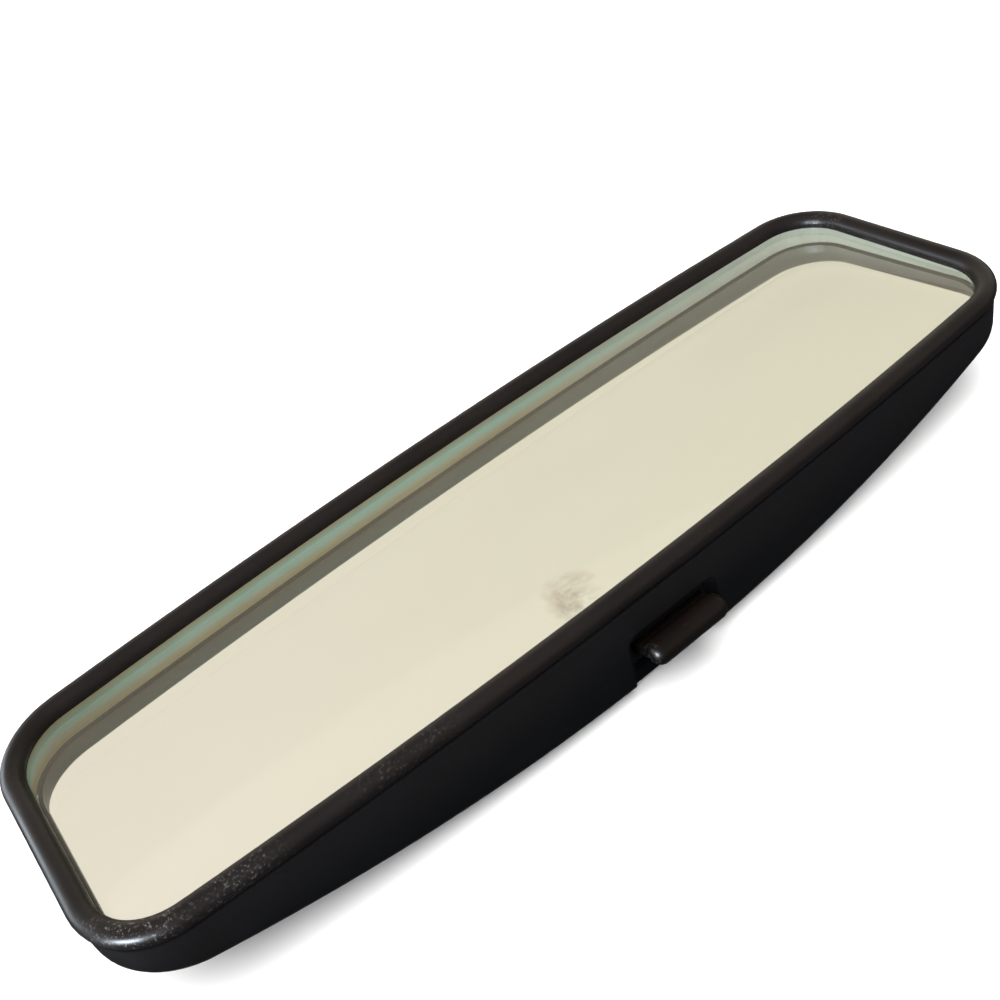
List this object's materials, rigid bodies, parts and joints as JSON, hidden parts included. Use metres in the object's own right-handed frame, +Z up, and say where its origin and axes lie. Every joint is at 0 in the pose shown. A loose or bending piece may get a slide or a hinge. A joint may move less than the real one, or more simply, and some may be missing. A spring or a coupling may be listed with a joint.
{
  "type": "interior rearview mirror",
  "caption": "Long rounded interior rearview mirror head lying on its back: prism glass in a black rim and housing, day/night tab, ball joint and short stem.",
  "frame": {"origin": "middle of the footprint of the whole part, on the surface that the back lies on", "axes": "+Z up, out of the glass; +X along the length of the mirror; +Y towards its top edge, the way that the stem leaves"},
  "size_m": [0.22, 0.0912, 0.0279],
  "materials": {
    "housing": "satin black-brown moulded plastic, fine grain",
    "bezel": "satin black-brown moulded plastic, polished by handling",
    "lever": "satin black-brown moulded plastic",
    "prism": "clear float glass with ground edges",
    "silver": "silvered",
    "film": "grey protective film",
    "pad": "foam rubber",
    "frame": "glass-filled nylon",
    "carrier": "dark grey acetal",
    "nylon": "natural nylon",
    "pin_steel": "ground steel",
    "screw_steel": "zinc plated steel",
    "spring_steel": "spring steel",
    "ball_metal": "turned steel",
    "stem_paint": "black powder-coated shank with bare spigot"
  },
  "bodies": {
    "head": {"rear_housing": "housing", "front_bezel": "bezel", "prism_glass": "prism", "silver_coating": "silver", "backing_film": "film", "glass_pads": "pad", "mechanism_frame": "frame", "frame_screws": "screw_steel", "hinge_pins": "pin_steel", "lever_pin": "pin_steel", "detent_spring": "spring_steel", "spring_rivet": "screw_steel"},
    "lever": {"day_night_lever": "lever", "crank_pin": "pin_steel"},
    "carrier": {"toggle_carrier": "carrier", "socket_cap": "carrier", "cap_screws": "screw_steel", "hinge_bushes": "nylon"},
    "liner": {"socket_liner": "nylon"},
    "ball": {"ball": "ball_metal"},
    "stem": {"stem": "stem_paint"}
  },
  "joints": [
    {"name": "lever_flip", "type": "hinge", "parent": "head", "child": "lever", "pos_m": [0, -0.03149, 0.0084], "axis": [1, 0, 0], "range_deg": [0, 44]},
    {"name": "carrier_tilt", "type": "hinge", "parent": "head", "child": "carrier", "pos_m": [0, 0.00851, 0.0148], "axis": [-1, 0, 0], "range_deg": [0, 5.37]},
    {"name": "ball_pan", "type": "hinge", "parent": "carrier", "child": "liner", "pos_m": [0, 0.00702, 0.00924], "axis": [0, 0.0459, 0.9989], "range_deg": [-15, 15]},
    {"name": "ball_tilt", "type": "hinge", "parent": "liner", "child": "ball", "pos_m": [0, 0.00702, 0.00924], "axis": [1, 0, 0], "range_deg": [-14, 10]},
    {"name": "ball_roll", "type": "hinge", "parent": "ball", "child": "stem", "pos_m": [0, 0.00702, 0.00924], "axis": [0, 0.9989, -0.0459], "range_deg": [-30, 30]}
  ],
  "couplings": [
    {"joint": "carrier_tilt", "follows": "lever_flip", "ratio": 0.12199}
  ]
}
